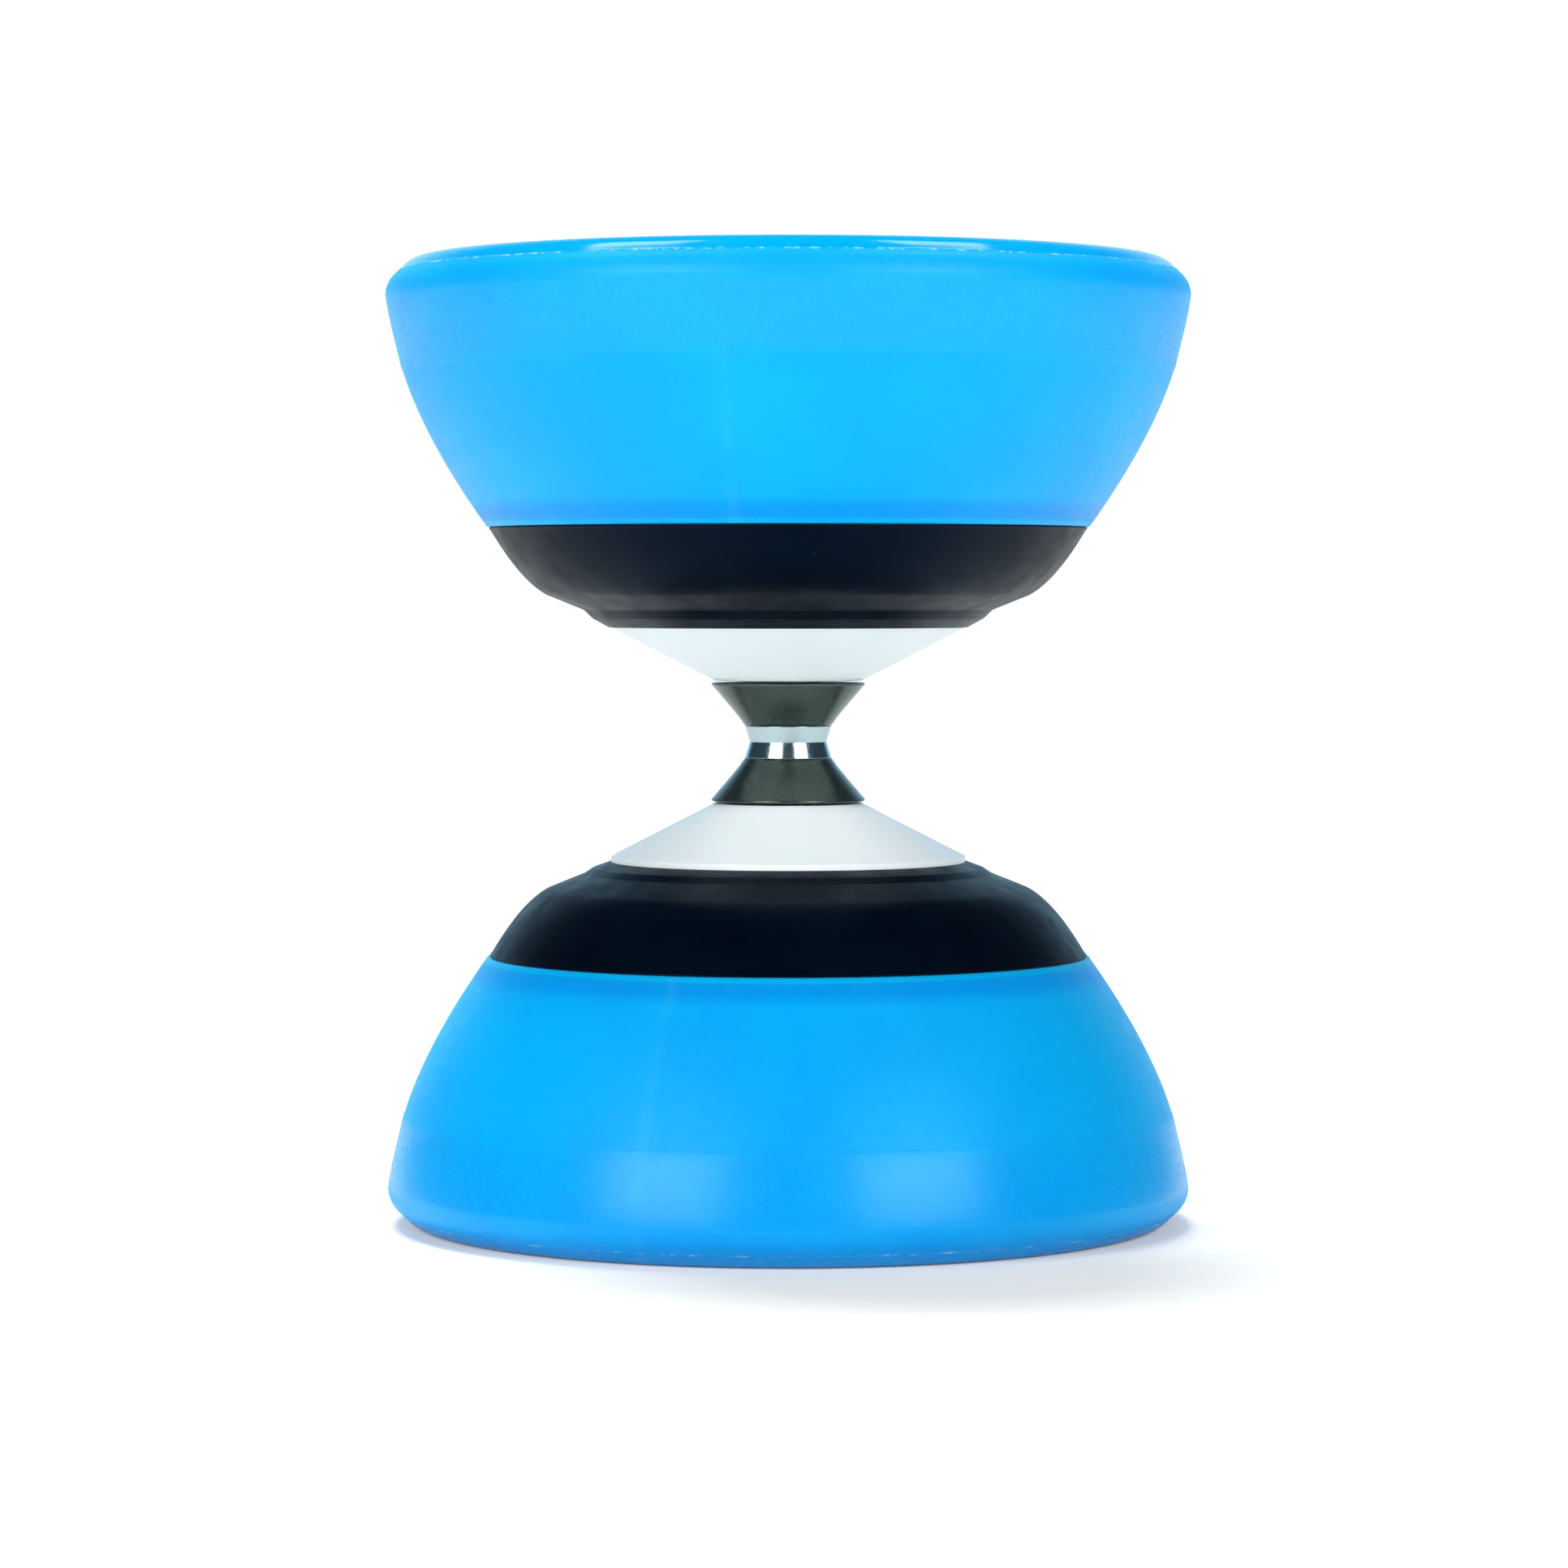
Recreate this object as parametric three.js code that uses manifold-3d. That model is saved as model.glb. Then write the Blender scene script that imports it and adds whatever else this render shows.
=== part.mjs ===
// A bearing diabolo: two soft cups on a ball bearing axle, standing on the rim of its lower cup.
//
// Millimetres, +Z up. The origin is the centre of the lower rim, at the level of the surface it stands on.
// The string runs in the throat, the narrowest place of the axle, half way between the rims. Both ends are
// made of the same pieces, turned end for end about the throat. So an outline is written once, as radius
// and height, with the height counted from the throat outwards.
//
// What turns: the roller (steel throat ring, two aluminium cones, outer bearing rings, shields and outer
// spacers) spins on three ball bearings around the shaft. The cups, hubs and cone washers are clamped to
// the shaft by the two lock nuts.

import * as THREE from "three";
import { mergeVertices } from "three/addons/utils/BufferGeometryUtils.js";
import Module from "manifold-3d";

const wasm = await Module();
wasm.setup();

// ---- Driving dimensions ----

const LENGTH = 138; // rim to rim
const HALF_LENGTH = LENGTH / 2;
const RIM_RADIUS = 57.5; // widest place of a cup
const FIT = 0.05; // clearance between faces that are clamped, pressed or glued together
const RUNNING_GAP = 0.3; // between the spinning roller and the still cone washers

const SEAM_HEIGHT = 30.7; // where a cup meets its hub
const SEAM_RADIUS = 42.9; // the hub's edge at the seam
const HUB_FLOOR = 19.8; // inside face of the hub's floor
const CONE_SEAT = 17.3; // where the wide end of a cone washer rests on the hub
const CONE_RADIUS = 25.4; // wide end of a cone washer
const LIP_HEIGHT = { upper: 16.4, lower: 17.2 }; // end of the hub's lip: the upper one covers the washer's edge

const ROLLER_END = 8.5; // end face of the aluminium cone
const ROLLER_RADIUS = 11; // wide end of the aluminium cone
const RING_EDGE = 2.3; // where the steel throat ring meets the aluminium cone
const RING_RADIUS = 6.2;
const THROAT_RADIUS = 5.5;
const SLEEVE_RADIUS = 5; // the aluminium cone's sleeve under the throat ring

const SHAFT_RADIUS = 2.5; // M5
const SHAFT_HALF_LENGTH = 28.6;
const SHAFT_BORE = SHAFT_RADIUS + FIT; // in everything that the shaft passes through
const BUSH_RADIUS = 4; // clamp bush through the cone washer and the hub
const SPIGOT_RADIUS = 9; // spigot of the cone washer, in the hub's central hole

// 5 x 9 x 3 mm deep groove ball bearings
const BEARING_WIDTH = 3;
const BEARING_RADIUS = 4.45;
const BEARING_SPACING = 5.7; // from the middle bearing to the others
const BALL_RADIUS = 0.6;
const BALL_CIRCLE = 3.5;
const BALL_COUNT = 8;

const CURVE_STEPS = 3; // straight pieces per curve of an outline
const LARGE_ROUND = 40; // sides of the cups, hubs and cone washers
const MEDIUM_ROUND = 28; // sides of the roller
const SMALL_ROUND = 16; // sides of the bearings, shaft and fasteners

// ---- Materials ----

const material = (color, roughness, metalness) =>
  new THREE.MeshStandardMaterial({ color, roughness, metalness });
const cupRubber = material(0x00aef5, 0.45, 0);
const hubPlastic = material(0x0c1016, 0.5, 0);
const conePlastic = material(0xf2f5f4, 0.4, 0);
const anodised = material(0x2c322f, 0.35, 0.9);
const ringSteel = material(0xc8ccce, 0.2, 1);
const shaftSteel = material(0x9a9ea0, 0.35, 1);
const zincSteel = material(0xb4b7b5, 0.3, 1);
const bearingSteel = material(0xa8acb0, 0.2, 1);
const nylon = material(0xe8e4d4, 0.6, 0);

// ---- Geometry helpers ----

// An outline from a path of radius and height, closed on itself, turned around the Z axis.
function turned(path, sides) {
  const points = path.getPoints(CURVE_STEPS);
  if (!points[0].equals(points.at(-1))) points.push(points[0].clone());
  return new THREE.LatheGeometry(points, sides).rotateX(Math.PI / 2);
}

const outline = (radius, height) => new THREE.Path().moveTo(radius, height);

// A plain ring or sleeve between two radii and two heights.
function ring(innerRadius, outerRadius, bottom, top, sides) {
  const path = outline(innerRadius, bottom)
    .lineTo(outerRadius, bottom)
    .lineTo(outerRadius, top)
    .lineTo(innerRadius, top);
  return turned(path, sides);
}

// A solid disc or rod on the axis.
function rod(radius, bottom, top, sides) {
  const path = outline(0, bottom).lineTo(radius, bottom).lineTo(radius, top).lineTo(0, top);
  return new THREE.LatheGeometry(path.getPoints(), sides).rotateX(Math.PI / 2);
}

// A closed geometry as a solid for joining and cutting.
function solid(geometry) {
  const bare = new THREE.BufferGeometry();
  bare.setAttribute("position", geometry.getAttribute("position").clone());
  bare.setIndex(geometry.index);
  const merged = mergeVertices(bare);
  const mesh = new wasm.Mesh({
    numProp: 3,
    vertProperties: merged.attributes.position.array,
    triVerts: new Uint32Array(merged.index.array),
  });
  return new wasm.Manifold(mesh);
}

function geometryOf(made) {
  const { vertProperties, triVerts } = made.getMesh();
  const geometry = new THREE.BufferGeometry();
  geometry.setAttribute("position", new THREE.BufferAttribute(vertProperties, 3));
  geometry.setIndex(new THREE.BufferAttribute(triVerts, 1));
  geometry.computeVertexNormals();
  return geometry;
}

// ---- Cup ----

// The neck of the soft cup is stretched over the hub's spigot and held by a bead. The wall grows from the
// neck to a heavy rim, which is where the cup carries its weight.
const NECK_RADIUS = 40.3; // inside the neck
const BEAD_HEIGHT = 32.3;
const BEAD_DEPTH = 0.4;
const NECK_TOP = 34.1;

function cup() {
  const foot = SEAM_HEIGHT + FIT;
  const path = outline(NECK_RADIUS, foot)
    .lineTo(SEAM_RADIUS + 0.1, foot)
    .lineTo(SEAM_RADIUS + 0.5, foot + 0.4)
    .bezierCurveTo(48.3, 38, 52.9, 46, 55.1, 53.2) // the flank
    .bezierCurveTo(56, 56.6, 57.1, 60.5, RIM_RADIUS, 63.7) // the steeper band below the rim
    .bezierCurveTo(57.4, 65.2, 56.75, 66.25, 55.6, 67.05) // round the rim to the mould line
    .bezierCurveTo(54.95, 67.75, 54.15, 68.75, 52.5, HALF_LENGTH) // the lip beyond it
    .lineTo(50.4, HALF_LENGTH) // the flat that it stands on
    .lineTo(49.8, HALF_LENGTH - 0.6)
    .bezierCurveTo(49.6, 64, 52.4, 60, 52.1, 55) // inside of the heavy rim
    .bezierCurveTo(50.7, 49.5, 47.6, 42, 43.6, 36.2)
    .lineTo(NECK_RADIUS, NECK_TOP)
    .lineTo(NECK_RADIUS, BEAD_HEIGHT + BEAD_DEPTH)
    .lineTo(NECK_RADIUS + BEAD_DEPTH, BEAD_HEIGHT)
    .lineTo(NECK_RADIUS, BEAD_HEIGHT - BEAD_DEPTH);
  return turned(path, LARGE_ROUND);
}

// ---- Hub ----

const SPIGOT_INSIDE = 38; // the hub's spigot, inside the cup's neck
const RIB_COUNT = 6;
const RIB_THICKNESS = 1.8;

// The stiff inner shell. Its floor takes the clamping force, and its spigot holds the cup.
function hubShell(lipHeight) {
  const spigot = NECK_RADIUS - FIT;
  const lipInside = CONE_RADIUS + FIT;
  const path = outline(SPIGOT_RADIUS + FIT, CONE_SEAT + FIT)
    .lineTo(lipInside, CONE_SEAT + FIT)
    .lineTo(lipInside, lipHeight)
    .lineTo(lipInside + 0.3, lipHeight)
    .lineTo(28.05, 17.8) // lip
    .lineTo(29.3, 18.9) // step
    .lineTo(34.5, 21) // shoulder
    .bezierCurveTo(37.6, 22.6, 40.4, 26.6, SEAM_RADIUS, SEAM_HEIGHT) // dome
    .lineTo(spigot, SEAM_HEIGHT)
    .lineTo(spigot, BEAD_HEIGHT - BEAD_DEPTH)
    .lineTo(spigot + BEAD_DEPTH, BEAD_HEIGHT)
    .lineTo(spigot, BEAD_HEIGHT + BEAD_DEPTH)
    .lineTo(spigot, NECK_TOP - 0.1)
    .lineTo(SPIGOT_INSIDE, NECK_TOP - 0.1)
    .lineTo(SPIGOT_INSIDE, 30.2)
    .quadraticCurveTo(36, 25.2, 31.5, 23.2)
    .lineTo(24.5, HUB_FLOOR)
    .lineTo(SPIGOT_RADIUS + FIT, HUB_FLOOR);
  return turned(path, LARGE_ROUND);
}

// A rib stands on the floor and runs up the wall, from the washer's seat to the foot of the spigot.
function rib() {
  const side = new THREE.Shape()
    .moveTo(13, HUB_FLOOR - 1)
    .lineTo(13, HUB_FLOOR + 1)
    .lineTo(25, HUB_FLOOR + 3)
    .lineTo(36.5, 29)
    .lineTo(38.6, 29)
    .lineTo(32.4, 22.3);
  const geometry = new THREE.ExtrudeGeometry(side, { depth: RIB_THICKNESS, bevelEnabled: false });
  return geometry.translate(0, 0, -RIB_THICKNESS / 2).rotateX(Math.PI / 2);
}

function hub(lipHeight) {
  let made = solid(hubShell(lipHeight));
  for (let i = 0; i < RIB_COUNT; i++) {
    const turn = ((i + 0.5) * 2 * Math.PI) / RIB_COUNT;
    made = made.add(solid(rib().rotateZ(turn)));
  }
  return geometryOf(made);
}

// ---- Cone washer ----

// The white washer that fills the step from the hub to the roller, with a spigot that centres the hub.
function coneWasher() {
  const tip = ROLLER_END + RUNNING_GAP;
  const bore = BUSH_RADIUS + FIT;
  const path = outline(bore, tip)
    .lineTo(ROLLER_RADIUS - 0.4, tip)
    .lineTo(ROLLER_RADIUS - 0.05, tip + 0.2)
    .lineTo(CONE_RADIUS, LIP_HEIGHT.upper)
    .lineTo(CONE_RADIUS, CONE_SEAT)
    .lineTo(SPIGOT_RADIUS, CONE_SEAT)
    .lineTo(SPIGOT_RADIUS, HUB_FLOOR - FIT)
    .lineTo(bore, HUB_FLOOR - FIT);
  return turned(path, LARGE_ROUND);
}

// ---- Roller ----

const ROLLER_BORE = BEARING_RADIUS + FIT;
const COUNTERBORE = 5.6; // clears the clamp bush's flange

// The steel ring that the string runs on, shrunk over the two sleeves. Its two flanks meet in a crease.
function throatRing() {
  const path = outline(SLEEVE_RADIUS + FIT, -RING_EDGE)
    .lineTo(RING_RADIUS, -RING_EDGE)
    .lineTo(THROAT_RADIUS, 0)
    .lineTo(RING_RADIUS, RING_EDGE)
    .lineTo(SLEEVE_RADIUS + FIT, RING_EDGE);
  return turned(path, MEDIUM_ROUND);
}

function axleCone() {
  const bearingEnd = BEARING_SPACING + BEARING_WIDTH / 2;
  const path = outline(ROLLER_BORE, FIT)
    .lineTo(SLEEVE_RADIUS, FIT)
    .lineTo(SLEEVE_RADIUS, RING_EDGE + FIT)
    .lineTo(RING_RADIUS + 0.05, RING_EDGE + FIT)
    .quadraticCurveTo(6.9, 3.4, 7.7, 4.4)
    .lineTo(ROLLER_RADIUS, ROLLER_END - 0.35)
    .lineTo(ROLLER_RADIUS, ROLLER_END - 0.15)
    .lineTo(ROLLER_RADIUS - 0.15, ROLLER_END)
    .lineTo(COUNTERBORE, ROLLER_END)
    .lineTo(COUNTERBORE, bearingEnd + FIT)
    .lineTo(ROLLER_BORE, bearingEnd + FIT);
  return turned(path, MEDIUM_ROUND);
}

// ---- Ball bearings ----

const RACE_SHOULDER = 0.45; // from the ball circle to the shoulder of either ring
const GROOVE_DEPTH = { inner: 0.23, outer: 0.3 };
const GROOVE_HALF_WIDTH = 0.55;

// The inner and outer rings are sleeves with a groove for the balls on the side that faces them.
function innerRing() {
  const half = (BEARING_WIDTH - FIT) / 2;
  const shoulder = BALL_CIRCLE - RACE_SHOULDER;
  const path = outline(SHAFT_BORE, -half)
    .lineTo(shoulder, -half)
    .lineTo(shoulder, -GROOVE_HALF_WIDTH)
    .lineTo(shoulder - GROOVE_DEPTH.inner, 0)
    .lineTo(shoulder, GROOVE_HALF_WIDTH)
    .lineTo(shoulder, half)
    .lineTo(SHAFT_BORE, half);
  return turned(path, SMALL_ROUND);
}

function outerRing() {
  const half = (BEARING_WIDTH - FIT) / 2;
  const shoulder = BALL_CIRCLE + RACE_SHOULDER;
  const path = outline(shoulder, -half)
    .lineTo(BEARING_RADIUS, -half)
    .lineTo(BEARING_RADIUS, half)
    .lineTo(shoulder, half)
    .lineTo(shoulder, GROOVE_HALF_WIDTH)
    .lineTo(shoulder + GROOVE_DEPTH.outer, 0)
    .lineTo(shoulder, -GROOVE_HALF_WIDTH);
  return turned(path, SMALL_ROUND);
}

// The cage with its balls, as one piece, because they go round together.
function ballCage() {
  let made = solid(ring(BALL_CIRCLE - 0.15, BALL_CIRCLE + 0.15, -0.7, 0.7, SMALL_ROUND));
  for (let i = 0; i < BALL_COUNT; i++) {
    const ball = new THREE.OctahedronGeometry(BALL_RADIUS, 1).translate(BALL_CIRCLE, 0, 0);
    made = made.add(solid(ball.rotateZ((i * 2 * Math.PI) / BALL_COUNT)));
  }
  return geometryOf(made);
}

// A thin disc that closes the bearing, carried by the outer ring.
function shield(side) {
  const inside = BALL_CIRCLE - RACE_SHOULDER + 0.1;
  const outside = BALL_CIRCLE + RACE_SHOULDER - FIT;
  const centre = side * 1.3;
  return ring(inside, outside, centre - 0.1, centre + 0.1, SMALL_ROUND);
}

// ---- Shaft and clamping parts ----

const WASHER_THICKNESS = 1.5;
const WASHER_RADIUS = 11.5;
const NUT_ACROSS_FLATS = 8;
const NUT_HEIGHT = 5;
const INSERT_RADIUS = 3.2;
const INSERT_BOTTOM = 3.9; // height of the nylon insert's seat in the nut
const washerBottom = HUB_FLOOR + FIT;
const nutBottom = washerBottom + WASHER_THICKNESS + FIT;

function shaft() {
  const end = SHAFT_HALF_LENGTH;
  const chamfer = 0.5;
  const path = outline(0, -end)
    .lineTo(SHAFT_RADIUS - chamfer, -end)
    .lineTo(SHAFT_RADIUS, chamfer - end)
    .lineTo(SHAFT_RADIUS, end - chamfer)
    .lineTo(SHAFT_RADIUS - chamfer, end)
    .lineTo(0, end);
  return new THREE.LatheGeometry(path.getPoints(), SMALL_ROUND).rotateX(Math.PI / 2);
}

// Takes the nut's force past the plastic parts, to the inner rings of the bearings.
function clampBush() {
  const bottom = BEARING_SPACING + BEARING_WIDTH / 2 + FIT;
  const flangeTop = ROLLER_END + RUNNING_GAP - FIT;
  const path = outline(SHAFT_BORE, bottom)
    .lineTo(BUSH_RADIUS - 0.8, bottom)
    .lineTo(BUSH_RADIUS - 0.8, bottom + 0.4)
    .lineTo(BUSH_RADIUS + 1, bottom + 0.4)
    .lineTo(BUSH_RADIUS + 1, flangeTop)
    .lineTo(BUSH_RADIUS, flangeTop)
    .lineTo(BUSH_RADIUS, HUB_FLOOR)
    .lineTo(SHAFT_BORE, HUB_FLOOR);
  return turned(path, SMALL_ROUND);
}

const clampWasher = () =>
  ring(SHAFT_BORE, WASHER_RADIUS, washerBottom, washerBottom + WASHER_THICKNESS, MEDIUM_ROUND);

// A hexagon lock nut with a round collar over its nylon insert.
function lockNut() {
  const cornerRadius = NUT_ACROSS_FLATS / Math.sqrt(3);
  const hexagon = new THREE.CylinderGeometry(cornerRadius, cornerRadius, NUT_HEIGHT, 6);
  hexagon.rotateX(Math.PI / 2).translate(0, 0, NUT_HEIGHT / 2);
  const bodyPath = outline(0, -0.1)
    .lineTo(3.9, -0.1)
    .lineTo(cornerRadius + 0.1, 0.4)
    .lineTo(cornerRadius + 0.1, 3.1)
    .lineTo(3.7, INSERT_BOTTOM)
    .lineTo(3.6, NUT_HEIGHT - 0.3)
    .lineTo(3.4, NUT_HEIGHT)
    .lineTo(0, NUT_HEIGHT);
  const body = new THREE.LatheGeometry(bodyPath.getPoints(), 24).rotateX(Math.PI / 2);
  const bore = rod(SHAFT_BORE, -1, NUT_HEIGHT + 1, SMALL_ROUND);
  const seat = rod(INSERT_RADIUS, INSERT_BOTTOM, NUT_HEIGHT + 1, SMALL_ROUND);
  const made = solid(hexagon).intersect(solid(body)).subtract(solid(bore)).subtract(solid(seat));
  return geometryOf(made).translate(0, 0, nutBottom);
}

const nutInsert = () =>
  ring(
    SHAFT_BORE,
    INSERT_RADIUS - FIT,
    nutBottom + INSERT_BOTTOM + FIT,
    nutBottom + NUT_HEIGHT - 0.2,
    SMALL_ROUND,
  );

// ---- Assembly ----

function piece(name, geometry, pieceMaterial) {
  const mesh = new THREE.Mesh(geometry, pieceMaterial);
  mesh.name = name;
  return mesh;
}

// The pieces of one end, for the upper end; the lower end is the same group turned over.
function endPieces(end) {
  return [
    piece(`${end}_cup`, cup(), cupRubber),
    piece(`${end}_hub`, hub(LIP_HEIGHT[end]), hubPlastic),
    piece(`${end}_cone_washer`, coneWasher(), conePlastic),
    piece(`${end}_axle_cone`, axleCone(), anodised),
    piece(`${end}_clamp_bush`, clampBush(), shaftSteel),
    piece(`${end}_clamp_washer`, clampWasher(), zincSteel),
    piece(`${end}_lock_nut`, lockNut(), zincSteel),
    piece(`${end}_nut_insert`, nutInsert(), nylon),
  ];
}

function bearing(name, height) {
  const group = new THREE.Group();
  group.position.z = height;
  group.add(
    piece(`${name}_bearing_inner_ring`, innerRing(), bearingSteel),
    piece(`${name}_bearing_outer_ring`, outerRing(), bearingSteel),
    piece(`${name}_bearing_ball_cage`, ballCage(), bearingSteel),
    piece(`${name}_bearing_top_shield`, shield(1), bearingSteel),
    piece(`${name}_bearing_bottom_shield`, shield(-1), bearingSteel),
  );
  return group;
}

// The sleeves that keep two bearings apart: one between the inner rings and one between the outer rings.
function spacers(end) {
  const bottom = BEARING_WIDTH / 2;
  const top = BEARING_SPACING - BEARING_WIDTH / 2;
  return [
    piece(`${end}_inner_spacer`, ring(SHAFT_BORE, 3.1, bottom, top, SMALL_ROUND), shaftSteel),
    piece(`${end}_outer_spacer`, ring(3.9, BEARING_RADIUS, bottom, top, SMALL_ROUND), shaftSteel),
  ];
}

const axle = new THREE.Group(); // its centre is the middle of the throat
axle.position.z = HALF_LENGTH;
for (const [end, turnOver] of [["upper", 0], ["lower", Math.PI]]) {
  const half = new THREE.Group();
  half.rotation.x = turnOver;
  half.add(...endPieces(end), ...spacers(end));
  axle.add(half);
}
axle.add(piece("throat_ring", throatRing(), ringSteel), piece("shaft", shaft(), shaftSteel));
axle.add(bearing("lower", -BEARING_SPACING), bearing("middle", 0), bearing("upper", BEARING_SPACING));

const diabolo = new THREE.Group();
diabolo.add(axle);

export default diabolo;
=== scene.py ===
"""The looks of a bearing diabolo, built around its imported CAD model.

The diabolo stands on its lower rim. Both ends are made of the same pieces, so most outlines are
written once, as radius and height in millimetres, with the height counted from the throat
outwards, and are turned for the upper end and again for the lower end.
"""

import math
import random

import bmesh
import bpy
from mathutils import Matrix, Vector, noise


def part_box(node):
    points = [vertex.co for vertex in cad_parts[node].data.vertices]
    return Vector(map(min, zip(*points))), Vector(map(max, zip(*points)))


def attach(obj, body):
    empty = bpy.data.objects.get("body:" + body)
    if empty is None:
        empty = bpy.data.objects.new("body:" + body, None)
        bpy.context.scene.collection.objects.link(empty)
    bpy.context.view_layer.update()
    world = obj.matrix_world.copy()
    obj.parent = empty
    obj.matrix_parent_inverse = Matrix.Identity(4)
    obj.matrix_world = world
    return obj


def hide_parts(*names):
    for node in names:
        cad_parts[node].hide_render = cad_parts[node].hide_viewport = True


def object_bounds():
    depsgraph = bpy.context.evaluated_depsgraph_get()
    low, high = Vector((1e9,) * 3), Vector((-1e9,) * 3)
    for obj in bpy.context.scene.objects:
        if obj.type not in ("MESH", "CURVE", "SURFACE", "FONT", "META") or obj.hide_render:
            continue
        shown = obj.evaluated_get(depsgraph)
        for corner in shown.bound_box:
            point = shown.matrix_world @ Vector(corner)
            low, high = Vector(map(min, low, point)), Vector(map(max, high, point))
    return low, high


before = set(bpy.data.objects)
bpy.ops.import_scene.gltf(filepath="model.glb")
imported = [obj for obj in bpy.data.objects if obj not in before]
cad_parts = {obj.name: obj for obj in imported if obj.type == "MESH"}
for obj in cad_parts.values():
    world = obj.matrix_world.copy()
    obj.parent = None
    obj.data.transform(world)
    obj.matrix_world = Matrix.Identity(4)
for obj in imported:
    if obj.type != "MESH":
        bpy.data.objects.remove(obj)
cad_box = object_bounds()

# ---- Sizes, in millimetres, with heights from the throat ----

MM = 0.001
THROAT_Z = (cad_box[0].z + cad_box[1].z) / 2  # in metres
HALF_LENGTH = (cad_box[1].z - cad_box[0].z) / 2 / MM
ENDS = {"upper": 1, "lower": -1}
GAP = 0.05  # between pieces that fit into each other


def reach(node):
    """The nearest and farthest height of a CAD node from the throat, and its radius, in
    millimetres."""
    low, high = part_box(node)
    heights = sorted(abs(z - THROAT_Z) / MM for z in (low.z, high.z))
    return heights[0], heights[1], high.x / MM


# Cups
SEAM_HEIGHT = reach("upper_cup")[0]  # where a cup's edge meets its hub
SEAM_RADIUS = reach("upper_hub")[2]
CREASE = 53.2  # height where the steeper band below the rim begins
CREASE_RADIUS = 55.1
WIDEST = 63.7  # height where the cup is as wide as its rim
RIM_RADIUS = cad_box[1].x / MM
MOULD_LINE = 67.05  # height of the ragged line between the rim and the lip
MOULD_LINE_RADIUS = 55.62
STANDING_RING = (50.9, 52.5)  # the inner and outer radius of the lip's flat end
# The weld lines' angles, from the front towards +X
WELD_ANGLE = {"upper": math.radians(-9.5), "lower": math.radians(-21)}
BURR_SEED = {"upper": 7, "lower": 11}

# Hubs, and how the cups are held on them
NECK_RADIUS = 40.3  # the cup's bore, which grips the hub's spigot
SPIGOT_END = 34.0
SPIGOT_INSIDE = 38.0
BEAD_HEIGHT = 32.3  # the bead round the spigot, and its groove in the cup
BEAD_SIZE = 0.4
HUB_FLOOR = 19.8
RIB_COUNT = 6
RIB_THICKNESS = 1.8
LIP_HEIGHT = {"upper": 16.4, "lower": 17.2}  # the hub's lip around the cone washer
LIP_STEP = {"upper": 17.7, "lower": 18.05}  # the step beside that lip

# Cone washers
CONE_RADIUS = reach("upper_cone_washer")[2]
CONE_EDGE = 16.4  # height of the wide end's edge
CONE_SEAT = 17.3  # where the wide end rests against the hub
CONE_BORE = 4.05
PILOT_RADIUS = 9.0  # the boss that goes through the hub's floor

# Roller, bearings and spacers
ROLLER_END = reach("upper_axle_cone")[1]
ROLLER_RADIUS = reach("upper_axle_cone")[2]
RING_EDGE = reach("throat_ring")[1]
RING_RADIUS = reach("throat_ring")[2]
RING_BORE = 5.05
THROAT_RADIUS = 5.5
BEARING_SPACING = 5.7
BEARING_HALF_WIDTH = 1.475
BEARING_OUTSIDE = 4.45
INNER_RING_OUTSIDE = 3.05
OUTER_RING_INSIDE = 3.95
SPACER_ENDS = (1.5, 4.2)
BALL_RADIUS = 0.6
BALL_CIRCLE = 3.5
BALL_COUNT = 8

# Shaft and fasteners
_, SHAFT_END, SHAFT_RADIUS = reach("shaft")
BORE = SHAFT_RADIUS + GAP  # of whatever is pushed onto the shaft
THREAD_START = 18.4
THREAD_PITCH = 0.8
THREAD_DEPTH = 0.49
NUT_BOTTOM, NUT_TOP, _ = reach("upper_lock_nut")
NUT_ACROSS_FLATS = 8.0

# ---- Outlines ----


def clamped(value):
    return max(0.0, min(1.0, value))


def around(radius, angle, height):
    """The place at that radius, angle and height."""
    return (radius * math.cos(angle), radius * math.sin(angle), height)


def cubic(start, first, second, end, steps):
    """Points of a Bezier curve after its start."""
    points = []
    for i in range(1, steps + 1):
        t = i / steps
        weights = ((1 - t) ** 3, 3 * (1 - t) ** 2 * t, 3 * (1 - t) * t * t, t**3)
        handles = (start, first, second, end)
        points.append(tuple(sum(w * p[axis] for w, p in zip(weights, handles)) for axis in (0, 1)))
    return points


def rounded(corners, steps=5):
    """An outline whose corners (radius, height, fillet) are replaced by arcs. A corner without a
    fillet stays, and so does one that hardly turns."""
    nearly_straight = math.radians(176)
    points = []
    count = len(corners)
    for i, corner in enumerate(corners):
        here = Vector(corner[:2])
        fillet = corner[2] if len(corner) > 2 else 0
        before = Vector(corners[i - 1][:2]) - here
        after = Vector(corners[(i + 1) % count][:2]) - here
        if not fillet or before.angle(after) > nearly_straight:
            points.append(tuple(here))
            continue
        longest = 0.45  # of either side, so that two fillets never meet
        cut = min(
            fillet / math.tan(before.angle(after) / 2),
            longest * before.length,
            longest * after.length,
        )
        first = here + before.normalized() * cut
        last = here + after.normalized() * cut
        for k in range(steps + 1):
            t = k / steps
            points.append(tuple(first * (1 - t) ** 2 + here * 2 * t * (1 - t) + last * t * t))
    return points


# ---- Meshes ----


def finished(name, mesh, body, material, replaced, slot, sharp=35):
    """Puts a mesh made in millimetres around the throat in its place, as a piece that rides on a
    CAD body. Edges that turn by more than sharp degrees stay sharp."""
    mesh.transform(Matrix.Translation((0, 0, THROAT_Z)) @ Matrix.Scale(MM, 4))
    mesh.materials.append(material)
    mesh.shade_smooth()
    mesh.set_sharp_from_angle(angle=math.radians(sharp))
    piece = bpy.data.objects.new(name, mesh)
    bpy.context.scene.collection.objects.link(piece)
    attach(piece, body)
    if replaced:
        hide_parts(*replaced)


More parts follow.
